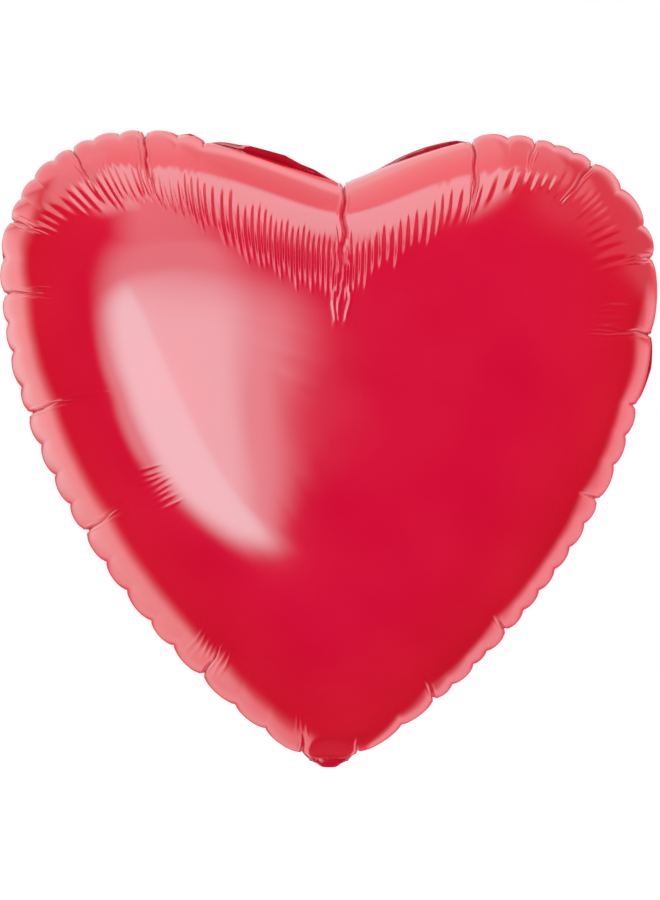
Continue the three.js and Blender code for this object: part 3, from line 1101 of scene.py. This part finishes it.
def tail_path(along):
    """Middle of the tail in the y-z plane, and the outward direction of its front face."""
    tangent = FOLD_RADIUS * math.tan(FOLD_ANGLE / 2)
    turn = np.clip((along + tangent) / (2 * tangent), 0, 1) * FOLD_ANGLE
    centre_z = FOLD_AT.z + tangent
    y = FOLD_RADIUS * (1 - np.cos(turn))
    z = centre_z - FOLD_RADIUS * np.sin(turn)
    z = z + np.maximum(-tangent - along, 0)
    past = np.maximum(along - tangent, 0)
    y = y + past * math.sin(FOLD_ANGLE)
    z = z - past * math.cos(FOLD_ANGLE)
    middle = np.stack((np.zeros(len(along)), y, z), axis=1)
    front = np.stack((np.zeros(len(along)), -np.cos(turn), -np.sin(turn)), axis=1)
    return middle, front


def tail_half_width(along):
    """Narrow at the fold, widening to the full tail, with rounded corners at the open end."""
    neck = bpy.context.scene.heart_shape.neck_half_width
    gathered = neck - FOLD_PINCH * np.exp(-((along / (3.5 * MM)) ** 2))
    wide = gathered + (TAIL_HALF_WIDTH - neck) * smooth_step(4 * MM, 20 * MM, along)
    past = np.clip(along - (TAIL_LENGTH - TAIL_CORNER), 0, TAIL_CORNER)
    return wide - (TAIL_CORNER - np.sqrt(TAIL_CORNER**2 - past**2))


def tail_rings(along, inner):
    """Rings round the flattened tube: the outer skin, or the inner one a film's thickness inside it."""
    middle, front = tail_path(along)
    half = tail_half_width(along)
    edge = TAIL_WELD * (1 - 0.85 * smooth_step(TAIL_WELD_END, TAIL_WELD_END + 3 * MM, along))
    swell = TAIL_SWELL * (1 - 0.1 * np.exp(-((along / (5 * MM)) ** 2)))
    swell = swell + MOUTH_SWELL * smooth_step(TAIL_WELD_END - 5 * MM, TAIL_LENGTH, along)
    turn = 2 * np.pi * np.arange(TAIL_ACROSS) / TAIL_ACROSS
    u, side = np.cos(turn), np.sign(np.round(np.sin(turn), 9))
    reach = (half - edge) if inner else half
    x = reach[:, None] * u
    share = np.clip(np.abs(x) / (half - edge)[:, None], 0, 1)
    flatness = 2 + 4 * np.exp(-((along / (9 * MM)) ** 2))[:, None]
    puff = swell[:, None] * (1 - share**flatness) ** 0.9
    thick = puff * (1 - TAIL_SKIN / swell.min()) if inner else puff + TAIL_SKIN
    from_fold = smooth_step(3 * MM, 8 * MM, np.abs(along))[:, None]
    dying = from_fold * np.exp(-((along / (12 * MM)) ** 2))[:, None]
    gathers = 0.07 * MM * dying * np.cos(2 * np.pi * x / (4.2 * MM))
    crinkle = 0.16 * MM * from_fold * np.sin(along[:, None] / (5.1 * MM) + 2.2 * np.sin(x / (6.5 * MM)))
    lift = FOLD_LIFT * (np.abs(x) / half[:, None]) ** 2.6 * np.exp(-((along / (8 * MM)) ** 2))[:, None]
    points = middle[:, None, :] + front[:, None, :] * (thick * side + gathers + crinkle)[..., None]
    points[..., 0] += x
    points[..., 2] += lift
    return points


class BALLOON_OT_tail_film(bpy.types.Operator):
    """Filling tail: a flat welded tube of film that bends over at the neck, with its crimp ribs"""

    bl_idname = "balloon.tail_film"
    bl_label = "Tail film"

    def execute(self, context):
        bend = np.linspace(TAIL_START, 12 * MM, 60, endpoint=False)
        flat = np.linspace(12 * MM, TAIL_LENGTH, 64)
        along = np.concatenate((bend, flat))
        outer, inner = tail_rings(along, False), tail_rings(along, True)[::-1]
        material = shared_material("metallised_nylon_film", metallised_nylon)
        obj = tube_mesh("tail_film", np.concatenate((outer, inner)), True, material, False)
        # Painted shade at the tail's fold: the film there is darkened to the crease shade colour and loses
        # its gloss.
        painted_shade = 0.95 * np.exp(-((along / (6 * MM)) ** 2))
        painted_shade = np.repeat(np.concatenate((painted_shade, painted_shade[::-1])), TAIL_ACROSS)
        film_attributes(obj, np.full(len(painted_shade), 12 * MM), painted_shade)
        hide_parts("tail_front_ply", "tail_rear_ply", "tail_weld_left", "tail_weld_right")
        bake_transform(obj)
        weld = shared_material("heat_sealed_film", crimped_weld)
        for side, word in ((1, "right"), (-1, "left")):
            run = np.linspace(8 * MM, TAIL_WELD_END, 80)
            middle, front = tail_path(run)
            middle[:, 0] = side * (tail_half_width(run) - TAIL_WELD / 2)
            across = np.tile((float(side), 0.0, 0.0), (len(run), 1))
            name = f"tail_crimp_ribs_{word}"
            crimp_ribs(name, middle, across, front, 2 * MM, 0.5 * MM, weld, "tail")
        return {"FINISHED"}


class BALLOON_OT_valve_films(bpy.types.Operator):
    """Milky film of the valve in the neck and of the inlet in the tail"""

    bl_idname = "balloon.valve_films"
    bl_label = "Valve films"

    def execute(self, context):
        material = shared_material("blown_polyethylene_film", valve_polyethylene)
        found = [obj for name, obj in frame["nodes"].items() if name.startswith(("valve_", "inlet_"))]
        if not found:
            raise RuntimeError("the frame holds no valve or inlet nodes")
        for obj in found:
            obj.data.materials.clear()
            obj.data.materials.append(material)
        return {"FINISHED"}


# ---- stage ---------------------------------------------------------------------------------------------

# What the film mirrors, drawn on a flat chart fixed to the world. Right and up are measured from straight in
# front of the balloon, reach is the distance from there, 1 is square to the side and the far wall lies
# beyond. Each light is a name, a brightness in red, green and blue, and its edges: a direction on the chart
# and the distances along it at which the light is dark and full. The lights are tinted for this red film:
# the lamps strongly cyan, which mirrored over the red ink reads as pale salmon, the walls from near white to
# pink, and the backdrop deep red.
RIGHT = (1, 0, 0)
UP = (0, 1, 0)
REACH = (0, 0, 1)
KEY_FOOT = (UP, -0.245, -0.165)
KEY_CORNER = ((0.6, -1, 0), 0.145, 0.075)
WALL_END = (REACH, 5.5, 2.4)
STUDIO_LIGHTS = (
    ("key_core", (1.30, 2.85, 2.85), ((REACH, 0.47, 0.31), ((1, 0.5, 0), -0.12, -0.20),
                                      (UP, 0.36, 0.10), ((-0.6, 1, 0), 0.42, 0.30),
                                      KEY_FOOT, KEY_CORNER)),
    ("key", (1.20, 2.25, 2.25), ((REACH, 0.48, 0.32), (RIGHT, 0.006, -0.092),
                                 ((1, -0.5, 0), 0.014, -0.084), (UP, 0.40, 0.08),
                                 ((-0.6, 1, 0), 0.44, 0.30), KEY_FOOT,
                                 KEY_CORNER)),
    ("key_side", (0.85, 1.30, 1.30), ((REACH, 0.48, 0.32), (RIGHT, 0.005, -0.038),
                                      ((1, -0.5, 0), 0.012, -0.034), (UP, 0.36, 0.06),
                                      KEY_FOOT, KEY_CORNER)),
    ("key_edge", (0.65, 1.10, 1.10), (((0, 0.2, 1), 0.48, 0.40), (RIGHT, -0.2, -0.3),
                                      (UP, -0.24, -0.16), (UP, 0.3, 0.0))),
    ("key_top", (0.60, 0.95, 0.95), ((REACH, 0.47, 0.34), (RIGHT, -0.01, -0.08),
                                     (UP, -0.1, 0.05))),
    ("key_bridge", (0.48, 0.76, 0.76), ((RIGHT, -0.34, -0.20), (RIGHT, 0.0, -0.10),
                                        (UP, 0.2, 0.3), (UP, 0.8, 0.6))),
    ("overhead", (0.82, 1.62, 1.62), ((UP, 0.46, 0.70), ((-0.15, 1, 0), 1.14, 0.98),
                                      ((1, 0.28, 0), -0.34, -0.20), ((1, -0.3, 0), 0.02, -0.12))),
    ("overhead_drop", (0.75, 1.40, 1.40), ((UP, 0.40, 0.52), ((1, 0.15, 0), -0.36, -0.27),
                                           (RIGHT, -0.12, -0.22), (UP, 1.0, 0.8))),
    ("overhead_left", (0.55, 0.74, 0.74), ((UP, 0.42, 0.66), (RIGHT, -1.25, -0.75),
                                           (RIGHT, -0.2, -0.45), (UP, 2.2, 1.3))),
    ("overhead_right", (0.24, 0.15, 0.17), (((0.3, 1, 0), 0.4, 0.7), (RIGHT, 0.15, 0.4))),
    ("ceiling", (0.78, 0.66, 0.66), ((UP, 0.85, 1.1), (RIGHT, 0.55, 0.0))),
    ("ceiling_right", (0.56, 0.46, 0.46), (((0.4, 1, 0), 0.75, 1.1), (RIGHT, 1.0, 0.6))),
    ("wall_left", (1.10, 0.96, 0.96), ((REACH, 1.08, 1.6), ((-1, 0.2, 0), 0.2, 0.85),
                                       (UP, -3.2, -0.4), ((0.3, 1, 0), 0.9, -0.1),
                                       WALL_END)),
    ("wall_low", (0.90, 0.58, 0.58), ((REACH, 1.08, 1.7), ((-1, 0.15, 0), -0.1, 0.2),
                                      (UP, 0.1, -0.5), WALL_END)),
    ("wall_right", (1.00, 0.53, 0.57), (((0, 0.2, 1), 1.45, 2.05), ((1, 0.25, 0), 0.0, 0.4),
                                        (UP, 0.5, -0.1), WALL_END)),
    ("wall_top", (0.95, 0.72, 0.74), ((REACH, 1.3, 2.6), (UP, 0.4, 1.3),
                                      WALL_END)),
    ("backdrop", (0.85, 0.10, 0.15), ((REACH, 1.6, 2.8),)),
)


def build_studio():
    """The surround: white to the camera, an even white fill on matt surfaces, and the chart of tinted lights
    in the film's gloss only. Straight in front and to the right the chart is dark."""
    levels = bpy.context.scene.heart_studio
    world = bpy.data.worlds.new("soft_studio")
    bpy.context.scene.world = world
    world.use_nodes = True
    tree = world.node_tree
    tree.nodes.clear()
    place = add_node(tree, "ShaderNodeTexCoord").outputs["Generated"]
    axes = add_node(tree, "ShaderNodeSeparateXYZ", Vector=place)
    depth = add_node(tree, "ShaderNodeMath", {"operation": "SUBTRACT"}, _0=1.0001, _1=axes.outputs[1])
    right = add_node(tree, "ShaderNodeMath", {"operation": "DIVIDE"}, _0=axes.outputs[0], _1=depth.outputs[0])
    up = add_node(tree, "ShaderNodeMath", {"operation": "DIVIDE"}, _0=axes.outputs[2], _1=depth.outputs[0])
    flat = add_node(tree, "ShaderNodeCombineXYZ", X=right.outputs[0], Y=up.outputs[0])
    reach = add_node(tree, "ShaderNodeVectorMath", {"operation": "LENGTH"}, _0=flat.outputs[0])
    chart = add_node(tree, "ShaderNodeCombineXYZ", X=right.outputs[0], Y=up.outputs[0],
                     Z=reach.outputs["Value"]).outputs[0]
    lit = None
    for _, strength, edges in STUDIO_LIGHTS:
        level = Vector(strength) * levels.lamps
        for weights, dark, full in edges:
            way = add_node(tree, "ShaderNodeVectorMath", {"operation": "DOT_PRODUCT"}, _0=chart, _1=weights)
            edge = add_node(tree, "ShaderNodeMapRange", {"interpolation_type": "SMOOTHSTEP"},
                            Value=way.outputs["Value"], _1=dark, _2=full, _3=0.0, _4=1.0)
            level = add_node(tree, "ShaderNodeVectorMath", {"operation": "MULTIPLY"}, _0=edge.outputs[0],
                             _1=level).outputs[0]
        if lit is not None:
            level = add_node(tree, "ShaderNodeVectorMath", {"operation": "MAXIMUM"}, _0=lit,
                             _1=level).outputs[0]
        lit = level
    ray = add_node(tree, "ShaderNodeLightPath")
    even = add_node(tree, "ShaderNodeBackground", Color=(1, 1, 1, 1), Strength=levels.fill)
    seen = add_node(tree, "ShaderNodeBackground", Color=(1, 1, 1, 1), Strength=1.0)
    mirrored = add_node(tree, "ShaderNodeBackground", Color=lit, Strength=1.0)
    first = add_node(tree, "ShaderNodeMixShader", _0=ray.outputs["Is Glossy Ray"], _1=even.outputs[0],
                     _2=mirrored.outputs[0])
    second = add_node(tree, "ShaderNodeMixShader", _0=ray.outputs["Is Camera Ray"], _1=first.outputs[0],
                      _2=seen.outputs[0])
    add_node(tree, "ShaderNodeOutputWorld", Surface=second.outputs[0])
    if hasattr(world, "cycles"):
        world.cycles.sampling_method = "NONE"
    view = bpy.context.scene.view_settings
    view.view_transform = "Standard"
    view.look = "None"


FLOOR_DROP = 0.55
FLOOR_HALF = 12


def build_floor():
    """Matt white paper under the balloon, left out of the film's reflections."""
    material, tree = new_material("white_paper_sweep")
    shader = add_node(tree, "ShaderNodeBsdfDiffuse", Color=(0.82, 0.82, 0.82, 1))
    add_node(tree, "ShaderNodeOutputMaterial", Surface=shader.outputs[0])
    z = CAD_BOX[0].z - FLOOR_DROP
    corners = [(x * FLOOR_HALF, y * FLOOR_HALF, z) for x, y in ((-1, -1), (1, -1), (1, 1), (-1, 1))]
    floor = mesh_object("floor", corners, [(0, 1, 2, 3)], material)
    floor.visible_glossy = False


CAMERA_AWAY = 2.6
FRAME_HEIGHT = 0.52875
FRAME_CENTRE = (0.0006, 0.1886)


def build_camera():
    data = bpy.data.cameras.new("camera")
    camera = bpy.data.objects.new("camera", data)
    bpy.context.scene.collection.objects.link(camera)
    data.sensor_width = 36
    data.lens = data.sensor_width * CAMERA_AWAY / FRAME_HEIGHT
    data.clip_end = 100
    camera.location = (FRAME_CENTRE[0], -CAMERA_AWAY, FRAME_CENTRE[1])
    camera.rotation_euler = (math.pi / 2, 0, 0)
    bpy.context.scene.camera = camera


class BALLOON_OT_stage(bpy.types.Operator):
    """Pale floor, soft studio surround and the camera"""

    bl_idname = "balloon.stage"
    bl_label = "Stage"

    def execute(self, context):
        build_studio()
        build_floor()
        build_camera()
        return {"FINISHED"}


# ---- add-on --------------------------------------------------------------------------------------------

PIECES = (
    BALLOON_OT_front_film,
    BALLOON_OT_rear_film,
    BALLOON_OT_seam_flange,
    BALLOON_OT_tail_film,
    BALLOON_OT_valve_films,
    BALLOON_OT_stage,
)

SETTINGS = {
    "heart_shape": HeartShape,
    "heart_gathers": Gathers,
    "heart_weld": WeldSizes,
    "heart_finish": FilmFinish,
    "heart_studio": StudioLevels,
}


class BALLOON_PT_sidebar(bpy.types.Panel):
    """Sizes, colours and the pieces to build"""

    bl_idname = "BALLOON_PT_sidebar"
    bl_label = "Heart balloon"
    bl_space_type = "VIEW_3D"
    bl_region_type = "UI"
    bl_category = "Balloon"

    def draw(self, context):
        for name, group in SETTINGS.items():
            box = self.layout.box()
            for prop in group.__annotations__:
                box.prop(getattr(context.scene, name), prop)
        for piece in PIECES:
            self.layout.operator(piece.bl_idname)


def register():
    for cls in (*SETTINGS.values(), *PIECES, BALLOON_PT_sidebar):
        bpy.utils.register_class(cls)
    for name, group in SETTINGS.items():
        setattr(bpy.types.Scene, name, PointerProperty(type=group))


def unregister():
    for name in SETTINGS:
        delattr(bpy.types.Scene, name)
    for cls in reversed((*SETTINGS.values(), *PIECES, BALLOON_PT_sidebar)):
        bpy.utils.unregister_class(cls)


def main():
    register()
    bpy.ops.balloon.front_film()
    bpy.ops.balloon.rear_film()
    bpy.ops.balloon.seam_flange()
    bpy.ops.balloon.tail_film()
    bpy.ops.balloon.valve_films()
    bpy.ops.balloon.stage()


if __name__ == "__main__":
    main()
